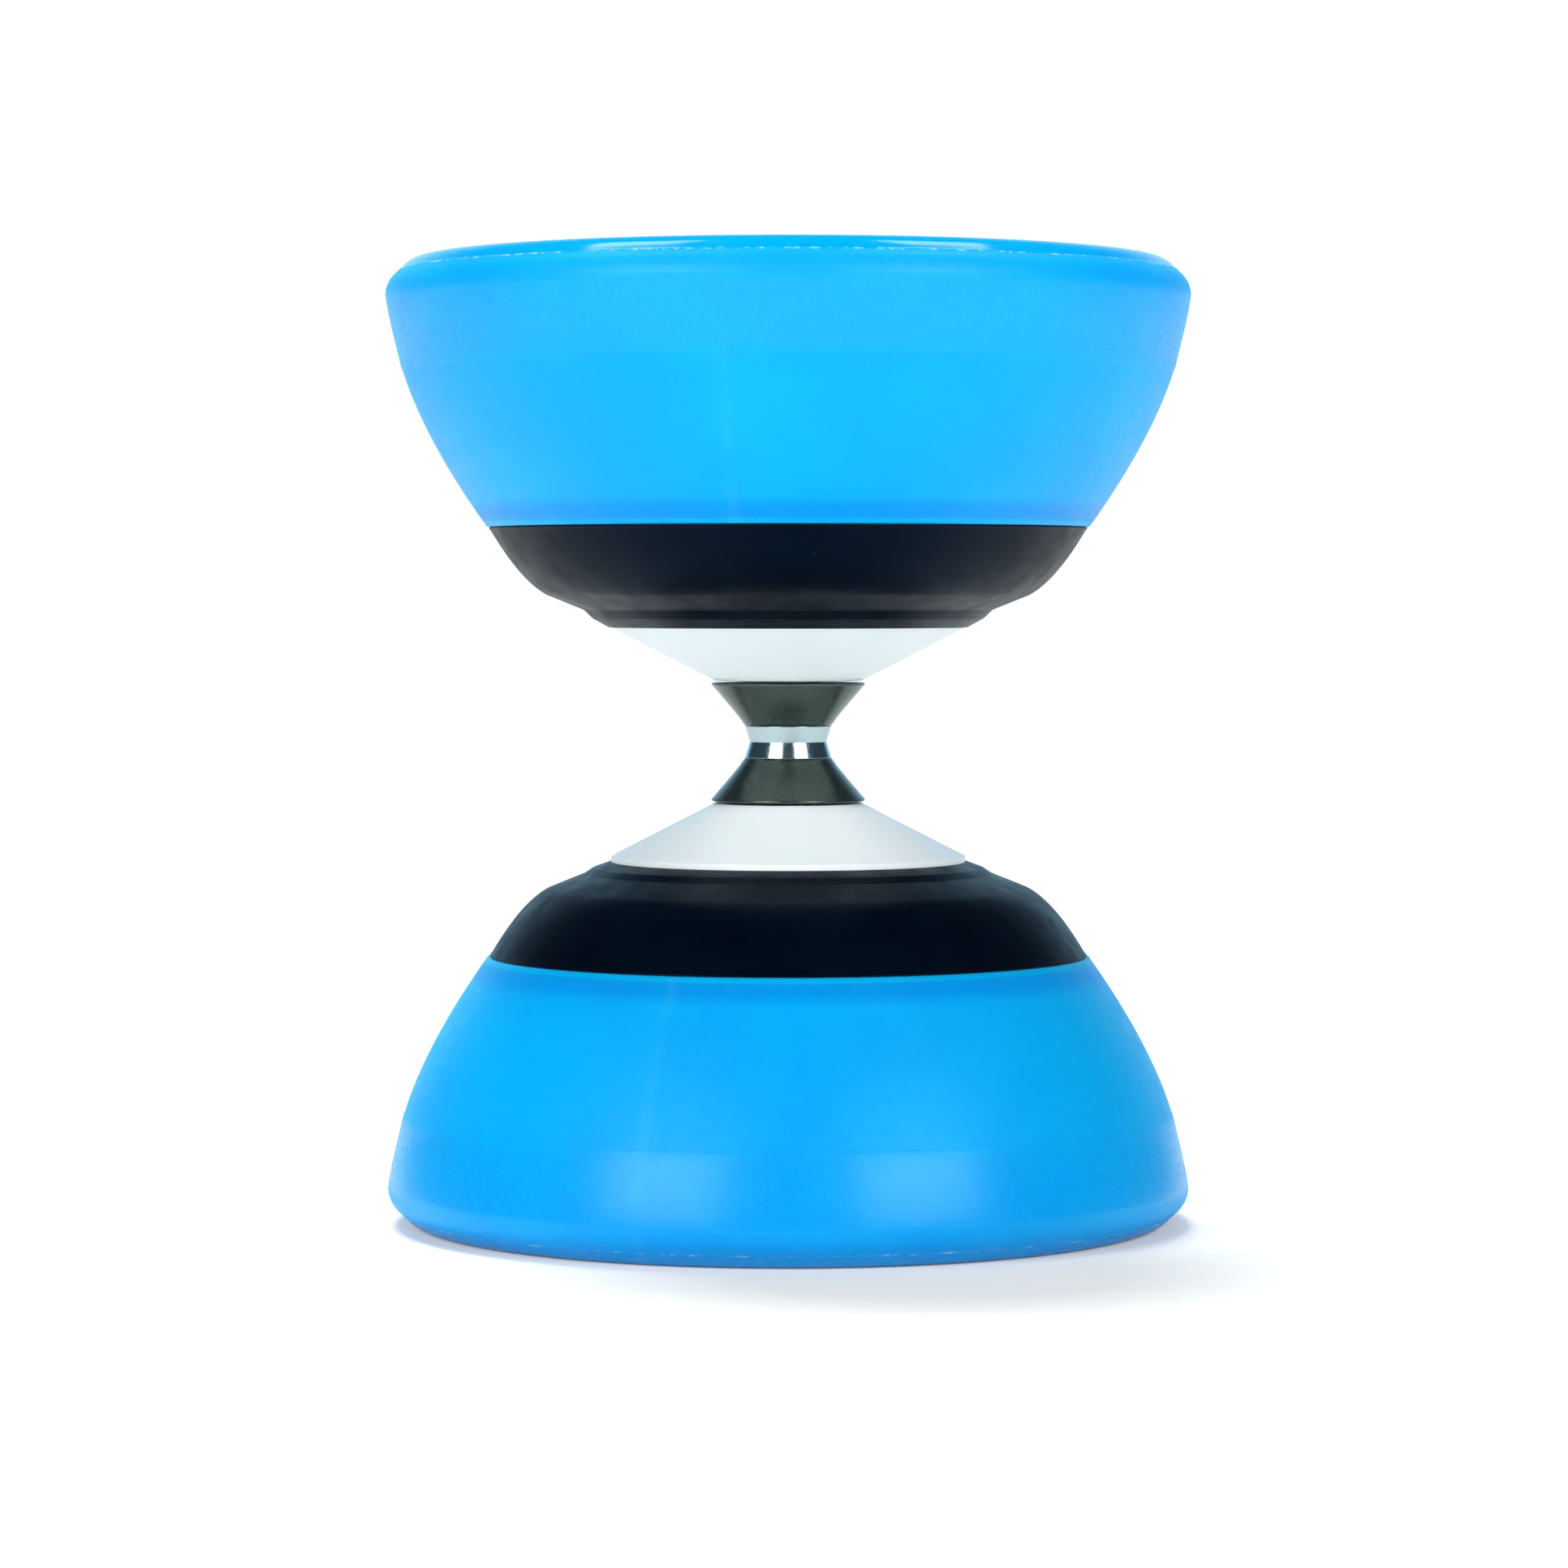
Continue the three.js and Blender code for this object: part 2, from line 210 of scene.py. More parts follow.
def as_mesh(made):
    mesh = bpy.data.meshes.new("piece")
    made.to_mesh(mesh)
    made.free()
    return mesh


def as_closed_mesh(made):
    """A closed surface as a mesh, with all its faces looking outwards."""
    bmesh.ops.recalc_face_normals(made, faces=made.faces)
    return as_mesh(made)


def ring_through(made, loops):
    """A ring of skin through closed loops of vertices, from each loop to the next one and from the
    last to the first."""
    for k, loop in enumerate(loops):
        following = loops[(k + 1) % len(loops)]
        for i in range(len(loop)):
            j = (i + 1) % len(loop)
            made.faces.new((loop[i], following[i], following[j], loop[j]))
    return as_closed_mesh(made)


def tube_through(made, loops):
    """A tube of skin through closed loops of vertices, capped at both ends."""
    for first, second in zip(loops, loops[1:]):
        for i in range(len(first)):
            j = (i + 1) % len(first)
            made.faces.new((first[i], first[j], second[j], second[i]))
    made.faces.new(loops[0])
    made.faces.new(loops[-1])
    return as_closed_mesh(made)


def turned(points, segments, side=1, shift=None):
    """A closed outline turned about the axis, for the upper end (side 1) or the lower (side -1).
    shift moves a point: it takes the angle, radius and height."""
    made = bmesh.new()
    loops = []
    for k in range(segments):
        angle = 2 * math.pi * k / segments
        outline = [shift(angle, *point) for point in points] if shift else points
        loops.append([made.verts.new(around(r, angle, side * height)) for r, height in outline])
    return ring_through(made, loops)


def joined(meshes):
    """Several meshes as one, each keeping its own closed surface."""
    made = bmesh.new()
    for mesh in meshes:
        made.from_mesh(mesh)
        bpy.data.meshes.remove(mesh)
    return as_mesh(made)


def carved(base, other, operation):
    """The union or difference of two closed meshes."""
    first = bpy.data.objects.new("carve_base", base)
    second = bpy.data.objects.new("carve_other", other)
    for thing in (first, second):
        bpy.context.scene.collection.objects.link(thing)
    modifier = first.modifiers.new("carve", "BOOLEAN")
    modifier.operation = operation
    modifier.solver = "EXACT"
    modifier.object = second
    graph = bpy.context.evaluated_depsgraph_get()
    result = bpy.data.meshes.new_from_object(first.evaluated_get(graph))
    for thing in (first, second):
        mesh = thing.data
        bpy.data.objects.remove(thing)
        bpy.data.meshes.remove(mesh)
    return result


# ---- Materials ----


class Surface:
    """A procedural material on a Principled shader. Places are in metres in the row frame."""

    def __init__(self, name, **sockets):
        self.material = bpy.data.materials.new(name)
        self.material.use_nodes = True
        self.tree = self.material.node_tree
        self.shader = self.tree.nodes["Principled BSDF"]
        for socket, value in sockets.items():
            self.shader.inputs[socket.replace("_", " ")].default_value = value
        self.place = self.add("ShaderNodeTexCoord").outputs["Object"]

    def add(self, kind, inputs=None, **settings):
        node = self.tree.nodes.new(kind)
        for setting, value in settings.items():
            setattr(node, setting, value)
        for socket, value in (inputs or {}).items():
            self.feed(node.inputs[socket], value)
        return node

    def feed(self, socket, value):
        if isinstance(value, bpy.types.NodeSocket):
            self.tree.links.new(value, socket)
        else:
            socket.default_value = value

    def set(self, socket, value):
        self.feed(self.shader.inputs[socket], value)

    def math(self, operation, first, second=0.0, third=0.0):
        inputs = {0: first, 1: second, 2: third}
        return self.add("ShaderNodeMath", inputs, operation=operation).outputs[0]

    def times(self, first, second):
        return self.math("MULTIPLY", first, second)

    def distance(self, first, second):
        return self.math("ABSOLUTE", self.math("SUBTRACT", first, second))

    def noise(self, size, detail=2.0, roughness=0.5, place=None):
        """Noise from 0 to 1 whose features are about size millimetres across."""
        inputs = {
            "Vector": place or self.place,
            "Scale": 1 / (size * MM),
            "Detail": detail,
            "Roughness": roughness,
        }
        return self.add("ShaderNodeTexNoise", inputs).outputs["Fac"]

    def stretched(self, x, y, z):
        """The place, with each axis multiplied."""
        inputs = {0: self.place, 1: (x, y, z)}
        return self.add("ShaderNodeVectorMath", inputs, operation="MULTIPLY").outputs[0]

    def between(self, value, low, high, new_low=0.0, new_high=1.0):
        """value from low to high, mapped smoothly to new_low to new_high."""
        inputs = {
            "Value": value,
            "From Min": low,
            "From Max": high,
            "To Min": new_low,
            "To Max": new_high,
        }
        node = self.add("ShaderNodeMapRange", inputs, interpolation_type="SMOOTHSTEP")
        return node.outputs["Result"]

    def blend(self, share, first, second):
        """A value between two values."""
        inputs = {"Factor": share, "A": first, "B": second}
        return self.add("ShaderNodeMix", inputs).outputs["Result"]

    def mix(self, share, first, second):
        """A colour between two colours."""
        node = self.add("ShaderNodeMix", data_type="RGBA")
        self.feed(node.inputs["Factor"], share)
        for socket, colour in (("A", first), ("B", second)):
            is_socket = isinstance(colour, bpy.types.NodeSocket)
            self.feed(node.inputs[socket], colour if is_socket else (*colour, 1))
        return node.outputs["Result"]

    def over(self, colour, mask, share, tint):
        """colour with tint laid over it where mask is 1, covering that share of it."""
        return self.mix(self.times(mask, share), colour, tint)

    def bump(self, height, depth, below=None):
        """Bumps as deep as depth millimetres where height goes from 0 to 1."""
        inputs = {"Height": height, "Distance": depth * MM, "Strength": 1.0}
        if below:
            inputs["Normal"] = below
        return self.add("ShaderNodeBump", inputs).outputs["Normal"]

    def turning(self, pitch, depth):
        """Fine rings left by a lathe tool, as bumps."""
        return self.bump(self.noise(pitch, 3, 0.6, self.stretched(0.01, 0.01, 1.0)), depth)

    def height(self):
        """The distance from the throat's plane, in millimetres."""
        z = self.add("ShaderNodeSeparateXYZ", {0: self.place}).outputs["Z"]
        return self.times(self.distance(z, THROAT_Z), 1 / MM)

    def weld_line(self):
        """A mask of the faint line up one side of a cup, where the two streams of plastic met in
        the mould."""
        axes = self.add("ShaderNodeSeparateXYZ", {0: self.place}).outputs
        angle = self.math("ARCTAN2", axes["X"], self.times(axes["Y"], -1.0))
        is_upper = self.math("GREATER_THAN", axes["Z"], THROAT_Z)
        apart = WELD_ANGLE["upper"] - WELD_ANGLE["lower"]
        line_at = self.math("MULTIPLY_ADD", is_upper, apart, WELD_ANGLE["lower"])
        faded, full = 0.03, 0.004  # in radians
        return self.between(self.distance(angle, line_at), faded, full)

    def specks(self, spacing, size, share):
        """A mask of sparse round specks. Spacing and size are in millimetres, and share is how
        many of the cells have one."""
        inputs = {"Vector": self.place, "Scale": 1 / (spacing * MM), "Randomness": 1.0}
        cells = self.add("ShaderNodeTexVoronoi", inputs, feature="F1").outputs
        dot = self.between(cells["Distance"], size / spacing, 0.6 * size / spacing)
        chosen = self.add("ShaderNodeSeparateColor", {0: cells["Color"]}).outputs[0]
        return self.times(dot, self.math("LESS_THAN", chosen, share))


def cup_rubber():
    """Translucent blue moulding: satin with a faint grain on the flank, glossier with an
    orange-peel skin on the band below the rim, duller from the widest place to the mould line, and
    smooth and shiny on the lip beyond it. Painted shade darkens the neck's colour where the black
    spigot lies behind it."""
    s = Surface(
        "cup_rubber",
        Subsurface_Weight=0.65,
        Subsurface_Radius=(0.25, 1.0, 1.6),
        Subsurface_Scale=3.5 * MM,
        Specular_IOR_Level=0.36,
    )
    height = s.height()
    # Painted shade: a darker band on the neck, where the black spigot lies behind the translucent
    # wall
    neck_shadow = s.times(
        s.between(height, SEAM_HEIGHT + 0.55, SEAM_HEIGHT + 0.95),
        s.between(height, SEAM_HEIGHT + 4.2, SEAM_HEIGHT + 1.9),
    )
    band = s.between(height, CREASE - 1.2, CREASE + 2.0)
    widest = s.between(height, WIDEST - 0.8, WIDEST + 0.8)
    lip = s.between(height, MOULD_LINE - 0.03, MOULD_LINE + 0.05)
    line = s.between(s.distance(height, MOULD_LINE), 0.16, 0.04)
    flash = s.times(line, s.between(s.noise(1.6, 4, 0.7), 0.5, 0.62))
    weld = s.times(s.weld_line(), s.between(s.noise(7.0, 2), 0.35, 0.6))

    cloud = s.between(s.noise(26, 2), 0.35, 0.65)
    colour = s.mix(cloud, (0.0, 0.38, 0.88), (0.0, 0.415, 0.91))
    # The neck's painted shade
    colour = s.over(colour, neck_shadow, 0.6, (0.0, 0.24, 0.72))
    colour = s.over(colour, band, 0.15, (0.0, 0.36, 0.88))
    colour = s.over(colour, lip, 0.3, (0.0, 0.33, 0.8))
    colour = s.over(colour, flash, 0.5, (0.55, 0.88, 1.0))
    colour = s.over(colour, s.specks(5.0, 0.09, 0.25), 0.5, (0.5, 0.8, 1.0))
    colour = s.over(colour, weld, 0.07, (0.1, 0.66, 0.98))
    s.set("Base Color", colour)

    gloss = s.mix(band, (0.25, 0.75, 1.0), (0.5, 0.95, 1.0))
    s.set("Specular Tint", s.mix(lip, gloss, (1.0, 1.0, 1.0)))

    matt = s.between(s.noise(3.0, 3), 0.3, 0.7, 0.38, 0.46)
    satin = s.between(s.noise(1.0, 3), 0.3, 0.7, 0.27, 0.29)
    roughness = s.blend(band, matt, satin)
    roughness = s.blend(widest, roughness, 0.45)
    s.set("Roughness", s.blend(lip, roughness, 0.1))

    depth = s.times(s.between(band, 0.0, 1.0, 0.4, 1.0), s.between(lip, 0.0, 1.0, 1.0, 0.05))
    s.set("Normal", s.bump(s.times(s.noise(0.7, 1, 0.5), depth), 0.003))
    return s.material


def hub_plastic():
    """Black moulding with a fine eroded grain, dust specks, and scuffs, most of them by its lip."""
    s = Surface("hub_plastic", Specular_IOR_Level=0.12, Specular_Tint=(0.25, 0.55, 1.0, 1))
    dust = s.math("ADD", s.specks(3.2, 0.10, 0.22), s.specks(6.0, 0.16, 0.2))
    scuffs = s.between(s.noise(1.1, 5, 0.75, s.stretched(0.35, 0.35, 2.2)), 0.66, 0.74)
    near_lip = s.between(s.height(), 21.5, 18.0)
    worn = s.times(scuffs, s.math("MULTIPLY_ADD", near_lip, 0.6, 0.1))

    cloud = s.between(s.noise(14, 3), 0.3, 0.7)
    colour = s.mix(cloud, (0.0001, 0.0014, 0.005), (0.0004, 0.0024, 0.0075))
    colour = s.over(colour, s.math("MINIMUM", dust, 1.0), 0.42, (0.22, 0.27, 0.32))
    colour = s.over(colour, worn, 0.35, (0.09, 0.11, 0.13))
    s.set("Base Color", colour)
    s.set("Roughness", s.between(s.noise(4.0, 4), 0.3, 0.7, 0.34, 0.44))
    s.set("Normal", s.bump(s.noise(0.28, 3, 0.6), 0.02))
    return s.material


def cone_plastic():
    """White turned plastic with fine turning lines and a little dust."""
    s = Surface(
        "cone_plastic",
        Subsurface_Weight=0.25,
        Subsurface_Radius=(1.0, 1.1, 1.2),
        Subsurface_Scale=0.8 * MM,
        Specular_IOR_Level=0.45,
    )
    cloud = s.between(s.noise(11, 3), 0.3, 0.7)
    colour = s.mix(cloud, (0.9, 0.97, 0.98), (0.94, 0.985, 0.99))
    s.set("Base Color", s.over(colour, s.specks(4.0, 0.09, 0.2), 0.5, (0.35, 0.42, 0.42)))
    s.set("Roughness", s.between(s.noise(5.0, 2), 0.3, 0.7, 0.32, 0.42))
    lines = s.noise(0.35, 2, 0.5, s.stretched(0.02, 0.02, 1.0))
    s.set("Normal", s.bump(lines, 0.006))
    return s.material


def anodised_aluminium():
    """Dark grey-green anodised aluminium with a fine blasted grain over its turning rings."""
    s = Surface("anodised_aluminium", Metallic=0.85, Specular_IOR_Level=0.5)
    grain = s.noise(0.16, 3, 0.7)
    mottled = s.between(grain, 0.35, 0.65)
    s.set("Base Color", s.mix(mottled, (0.052, 0.074, 0.066), (0.088, 0.115, 0.104)))
    s.set("Roughness", s.between(s.noise(1.2, 3), 0.3, 0.7, 0.22, 0.28))
    s.set("Normal", s.bump(grain, 0.003, below=s.turning(0.12, 0.0015)))
    return s.material


def ring_steel():
    """Bright turned stainless steel, scuffed a little by the string."""
    s = Surface("ring_steel", Metallic=1.0, Anisotropic=0.35)
    scuffs = s.between(s.noise(0.45, 5, 0.8), 0.52, 0.62)
    s.set("Base Color", s.over((0.43, 0.53, 0.56), scuffs, 0.35, (0.3, 0.38, 0.4)))
    s.set("Roughness", s.math("MULTIPLY_ADD", scuffs, 0.10, 0.13))
    s.set("Tangent", s.add("ShaderNodeTangent", direction_type="RADIAL", axis="Z").outputs[0])
    s.set("Normal", s.bump(s.noise(0.3, 4, 0.7), 0.0025, below=s.turning(0.06, 0.0012)))
    return s.material


def plain_steel(name, colour, darker, roughness):
    """Ground or plated steel with faint stains and turning rings."""
    s = Surface(name, Metallic=1.0)
    stains = s.between(s.noise(2.2, 4, 0.65), 0.42, 0.7)
    s.set("Base Color", s.over(colour, stains, 0.45, darker))
    s.set("Roughness", s.math("MULTIPLY_ADD", stains, 0.07, roughness))
    s.set("Normal", s.bump(s.noise(0.22, 4, 0.7), 0.002, below=s.turning(0.15, 0.002)))
    return s.material


def nut_nylon():
    """The off-white ring that locks a nut."""
    s = Surface("nut_nylon", Subsurface_Weight=0.3, Subsurface_Scale=0.5 * MM)
    s.set("Base Color", s.mix(s.noise(1.0, 3), (0.72, 0.69, 0.58), (0.80, 0.78, 0.69)))
    s.set("Roughness", s.between(s.noise(0.6, 2), 0.3, 0.7, 0.45, 0.6))
    s.set("Normal", s.bump(s.noise(0.2, 2), 0.004))
    return s.material


def burr_rubber():
    """The cups' rubber where it is a thin sliver, and so paler."""
    s = Surface("burr_rubber", Subsurface_Weight=0.4, Subsurface_Scale=0.3 * MM)
    s.set("Base Color", s.mix(s.noise(0.8, 3), (0.25, 0.72, 0.98), (0.6, 0.9, 1.0)))
    s.set("Roughness", s.between(s.noise(0.3, 2), 0.3, 0.7, 0.3, 0.5))
    return s.material


CUP_RUBBER = cup_rubber()
HUB_PLASTIC = hub_plastic()
CONE_PLASTIC = cone_plastic()
ANODISED = anodised_aluminium()
RING_STEEL = ring_steel()
SHAFT_STEEL = plain_steel("shaft_steel", (0.46, 0.48, 0.49), (0.3, 0.31, 0.31), 0.28)
ZINC_STEEL = plain_steel("zinc_steel", (0.62, 0.65, 0.66), (0.44, 0.46, 0.45), 0.24)
BEARING_STEEL = plain_steel("bearing_steel", (0.62, 0.64, 0.66), (0.5, 0.52, 0.54), 0.12)
NUT_NYLON = nut_nylon()
BURR_RUBBER = burr_rubber()

# ---- Cups ----


def mould_flash(end):
    """Moves the crest of the mould line out and in, so that it is a ragged edge."""
    half_width = 0.09
    lowest, rise = 0.03, 0.1
    slant = 0.7  # the crest points outwards and towards the lip alike

    def shift(angle, radius, height):
        near = 1 - abs(height - MOULD_LINE) / half_width
        if near <= 0 or radius < MOULD_LINE_RADIUS - 0.6:
            return radius, height
        place = Vector(around(1, angle, ENDS[end] * 0.4))
        ragged = 0.5 + noise.noise(place * 9) + 0.8 * noise.noise(place * 31)
        moved = slant * near * (lowest + rise * clamped(ragged))
        return radius + moved, height + moved

    return shift


def cup(end):
    """The soft cup. Its outline starts at the seam with the hub."""
    foot = SEAM_HEIGHT
    edge = SEAM_RADIUS + 0.1
    flank_start = (SEAM_RADIUS + 0.5, foot + 0.4)
    step = 0.16  # the band below the rim stands this proud of the flank
    crease = (CREASE_RADIUS - step / 2, CREASE - 0.35)
    band = (CREASE_RADIUS + step / 2 + 0.13, CREASE + 0.35)
    widest = (RIM_RADIUS, WIDEST)
    line = (MOULD_LINE_RADIUS, MOULD_LINE)
    before_line = (line[0] + 0.05, line[1] - 0.04)
    lip_start = (line[0] - 0.07, line[1] + 0.06)
    standing_inside, standing_outside = STANDING_RING
    lip_inside = (49.8, 68.2)
    waist = (52.1, 55)

    # Outside, up to the lip's flat end
    points = [(NECK_RADIUS, foot), (edge - 0.25, foot)]
    points += cubic(
        (edge - 0.25, foot), (edge + 0.1, foot), (flank_start[0] - 0.1, foot + 0.15), flank_start, 5
    )
    points += cubic(flank_start, (48.3, 38), (52.9, 46), crease, 30)
    points += cubic(
        crease, (crease[0] + 0.03, CREASE - 0.2), (band[0] - 0.05, CREASE + 0.15), band, 4
    )
    points += cubic(band, (56, 56.6), (57.1, 60.5), widest, 14)
    points += cubic(widest, (57.4, 65.2), (56.75, 66.25), before_line, 14)
    points += [line, lip_start]
    points += cubic(lip_start, (54.95, 67.8), (54.15, 68.8), (standing_outside, HALF_LENGTH), 16)
    points += [(standing_inside, HALF_LENGTH)]

    # Inside, from there back to the neck
    points += cubic((50.6, HALF_LENGTH), (50.0, HALF_LENGTH), (49.8, 68.6), lip_inside, 5)
    points += cubic(lip_inside, (49.6, 64), (52.4, 60), waist, 16)
    points += cubic(waist, (50.7, 49.5), (47.6, 42), (43.6, 36.2), 16)
    points += [(NECK_RADIUS + 0.25, SPIGOT_END + 0.2), (NECK_RADIUS, SPIGOT_END - 0.1)]
    points += [
        (NECK_RADIUS, BEAD_HEIGHT + BEAD_SIZE),
        (NECK_RADIUS + BEAD_SIZE, BEAD_HEIGHT),
        (NECK_RADIUS, BEAD_HEIGHT - BEAD_SIZE),
    ]
    mesh = turned(points, 288, ENDS[end], mould_flash(end))
    finished(f"{end}_cup_moulding", mesh, "cups", CUP_RUBBER, [f"{end}_cup"], "cup_rubber")


def burr(start_angle, length, curl, side):
    """One thin curled sliver of moulding flash, as a tapered tube that starts in the mould line."""
    made = bmesh.new()
    steps, sides = 10, 6
    loops = []
    for k in range(steps + 1):
        t = k / steps
        angle = start_angle + length * t / MOULD_LINE_RADIUS
        lift = curl * math.sin(math.pi * 0.75 * t)
        out = MOULD_LINE_RADIUS + 0.05 + 0.25 * curl * t
        centre = Vector(around(out, angle, side * (MOULD_LINE - lift)))
        outward = Vector(around(1, angle, 0))
        thickness = 0.07 * (1 - t) ** 0.7 + 0.012
        loop = []
        for n in range(sides):
            turn = 2 * math.pi * n / sides
            offset = outward * math.cos(turn) + Vector((0, 0, math.sin(turn)))
            loop.append(made.verts.new(centre + offset * thickness))
        loops.append(loop)
    return tube_through(made, loops)


def rim_burrs(end):
    """A few loose slivers of flash round the mould line."""
    chance = random.Random(BURR_SEED[end])
    slivers = []
    for _ in range(16):
        angle = chance.uniform(0, 2 * math.pi)
        length = chance.uniform(0.8, 2.4) * chance.choice((-1, 1))
        slivers.append(burr(angle, length, chance.uniform(0.15, 0.6), ENDS[end]))
    finished(f"{end}_rim_burrs", joined(slivers), "cups", BURR_RUBBER, [], "cup_rubber")


# ---- Hubs and cone washers ----


def hub_rib(turn):
    """A rib with a rounded top, from beside the clamp washer out to the foot of the spigot."""
    side = rounded(
        [
            (13, HUB_FLOOR - 1),
            (13, HUB_FLOOR + 1, 0.4),
            (25, HUB_FLOOR + 3, 3),
            (36.5, 29, 0.6),
            (38.6, 29),
            (32.4, 22.3),
        ]
    )
    made = bmesh.new()
    half = RIB_THICKNESS / 2
    near, far = [[made.verts.new((r, y, h)) for r, h in side] for y in (-half, half)]
    made.faces.new(near)
    made.faces.new(far)
    for i in range(len(side)):
        j = (i + 1) % len(side)
        made.faces.new((near[i], near[j], far[j], far[i]))
    bmesh.ops.recalc_face_normals(made, faces=made.faces)
    bmesh.ops.rotate(made, verts=made.verts, matrix=Matrix.Rotation(turn, 3, "Z"))
    return as_mesh(made)


def hub(end):
    """The hub's dome with its lip, spigot, bead, floor and ribs."""
    lip = LIP_HEIGHT[end]
    lip_inside = CONE_RADIUS + GAP
    hole = PILOT_RADIUS + GAP
    spigot = NECK_RADIUS - GAP
    shoulder = (34.5, 21.0)
    edge = (SEAM_RADIUS - 0.35, SEAM_HEIGHT - 0.55)
    seam = SEAM_HEIGHT - GAP
    outside = rounded(
        [
            (hole, CONE_SEAT + GAP),
            (lip_inside, CONE_SEAT + GAP),
            (lip_inside, lip, 0.05),
            (lip_inside + 0.25, lip, 0.1),
            (28.05, LIP_STEP[end], 0.5),
            (29.3, 18.9, 0.5),
            shoulder,
        ]
    )
    outside += cubic(shoulder, (37.6, 22.6), (40.4, 26.6), edge, 26)
    outside += cubic(
        edge,
        (SEAM_RADIUS, SEAM_HEIGHT - 0.2),
        (SEAM_RADIUS, SEAM_HEIGHT - 0.06),
        (SEAM_RADIUS - 0.25, seam),
        6,
    )
    inside = rounded(
        [
            (spigot, seam),
            (spigot, BEAD_HEIGHT - BEAD_SIZE),
            (spigot + BEAD_SIZE, BEAD_HEIGHT, 0.1),
            (spigot, BEAD_HEIGHT + BEAD_SIZE),
            (spigot, SPIGOT_END, 0.3),
            (SPIGOT_INSIDE, SPIGOT_END, 0.3),
            (SPIGOT_INSIDE, 30.2, 2),
            (31.5, 23.2, 9),
            (24.5, HUB_FLOOR, 3),
            (hole, HUB_FLOOR, 0.2),
        ]
    )
    mesh = turned(outside + inside, 240)
    for i in range(RIB_COUNT):
        mesh = carved(mesh, hub_rib((i + 0.5) * 2 * math.pi / RIB_COUNT), "UNION")
    if end == "lower":
        mesh.transform(Matrix.Rotation(math.pi, 4, "X"))
    name = f"{end}_hub_moulding"
    finished(name, mesh, "cups", HUB_PLASTIC, [f"{end}_hub"], "hub_plastic", sharp=24)


def cone_washer(end):
    tip, inner_end, _ = reach(f"{end}_cone_washer")
    corners = [
        (CONE_BORE, tip),
        (ROLLER_RADIUS - 0.4, tip, 0.05),
        (ROLLER_RADIUS - 0.05, tip + 0.2, 0.15),
        (CONE_RADIUS, CONE_EDGE, 0.12),
        (CONE_RADIUS, CONE_SEAT),
        (PILOT_RADIUS, CONE_SEAT),
        (PILOT_RADIUS, inner_end, 0.2),
        (CONE_BORE, inner_end),
    ]
    mesh = turned(rounded(corners), 192, ENDS[end])
    node = f"{end}_cone_washer"
    finished(f"{end}_cone_turned", mesh, "cups", CONE_PLASTIC, [node], "cone_plastic")


# ---- Roller ----


def axle_cone(end):
    """A flared cone that meets the other one inside the throat ring and holds the bearings."""
    core = RING_BORE - GAP
    pocket = BEARING_OUTSIDE + GAP
    recess = 5.6
    pocket_end = 7.25
    ring_edge = (RING_RADIUS + GAP, RING_EDGE + GAP)
    outline = [
        (pocket, GAP),
        (core, GAP),
        (core, ring_edge[1]),
        (ring_edge[0] - 0.06, ring_edge[1]),
        (ring_edge[0], ring_edge[1] + 0.05),
    ]
    outline += cubic(ring_edge, (6.85, 3.35), (8.0, 4.7), (8.9, 5.75), 12)
    outline += rounded(
        [
            (ROLLER_RADIUS - 0.02, ROLLER_END - 0.4, 0.1),
            (ROLLER_RADIUS, ROLLER_END - 0.12, 0.05),
            (ROLLER_RADIUS - 0.12, ROLLER_END, 0.05),
            (recess, ROLLER_END, 0.15),
            (recess, pocket_end),
            (pocket, pocket_end),
        ]
    )
    mesh = turned(outline, 160, ENDS[end])
    node = f"{end}_axle_cone"
    finished(f"{end}_cone_anodised", mesh, "roller", ANODISED, [node], "anodised_aluminium")


def throat_ring():
    """Two straight flanks that meet in a crisp crease where the string runs."""
    corners = [
        (RING_BORE, -RING_EDGE),
        (RING_RADIUS, -RING_EDGE, 0.08),
        (THROAT_RADIUS, 0, 0.12),
        (RING_RADIUS, RING_EDGE, 0.08),
        (RING_BORE, RING_EDGE),
    ]
    mesh = turned(rounded(corners), 160)
    finished("throat_ring_turned", mesh, "roller", RING_STEEL, ["throat_ring"], "ring_steel")


# ---- Bearings and spacers ----


def sleeve(node, body, material, slot, inner, outer, low, high, fillet=0.08):
    """A plain ring between two radii and two heights, in place of a CAD node."""
    corners = [
        (inner, low, fillet),
        (outer, low, fillet),
        (outer, high, fillet),
        (inner, high, fillet),
    ]
    mesh = turned(rounded(corners, 3), 96)
    finished(f"{node}_turned", mesh, body, material, [node], slot)


def ball_groove(circle_side, steps=9):
    """The cross-section of a ball groove, from the ball's centre towards the inner ring
    (circle_side -1) or the outer ring (circle_side 1)."""
    radius = BALL_RADIUS + 0.04
    half = math.radians(48)
    points = []
    for k in range(steps + 1):
        turn = -half + 2 * half * k / steps
        across = BALL_CIRCLE + circle_side * radius * math.cos(turn)
        points.append((across, radius * math.sin(turn)))
    return points


def ball_circle(radius):
    """Balls of that radius, all round the circle that they run on."""
    made = []
    for i in range(BALL_COUNT):
        ball = bmesh.new()
        place = Matrix.Translation(around(BALL_CIRCLE, 2 * math.pi * i / BALL_COUNT, 0))
        bmesh.ops.create_icosphere(ball, subdivisions=3, radius=radius, matrix=place)
        made.append(as_mesh(ball))
    return joined(made)


